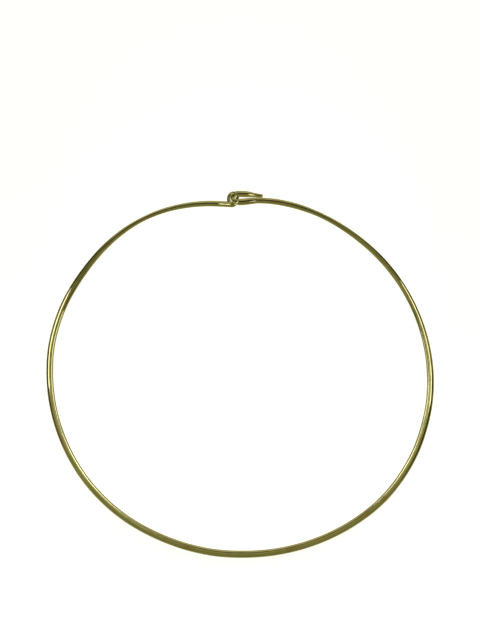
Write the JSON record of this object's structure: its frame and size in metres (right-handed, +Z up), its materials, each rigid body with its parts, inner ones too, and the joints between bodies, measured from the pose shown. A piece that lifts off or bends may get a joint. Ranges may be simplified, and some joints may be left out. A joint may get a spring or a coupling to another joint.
{
  "type": "collar necklace",
  "caption": "Stiff round-wire collar necklace that fastens behind the neck with a hook through an eye, both bent from the ends of the same wire.",
  "frame": {"origin": "middle of the bounding box on the surface that the necklace lies on", "axes": "+Z up from the surface, +Y towards the clasp behind the neck, +X towards the side that carries the hook"},
  "size_m": [0.1316, 0.1258, 0.006],
  "materials": {
    "polished_brass": "polished drawn wire, slightly tarnished"
  },
  "bodies": {
    "root": {"collar_wire": "polished_brass"}
  },
  "joints": []
}
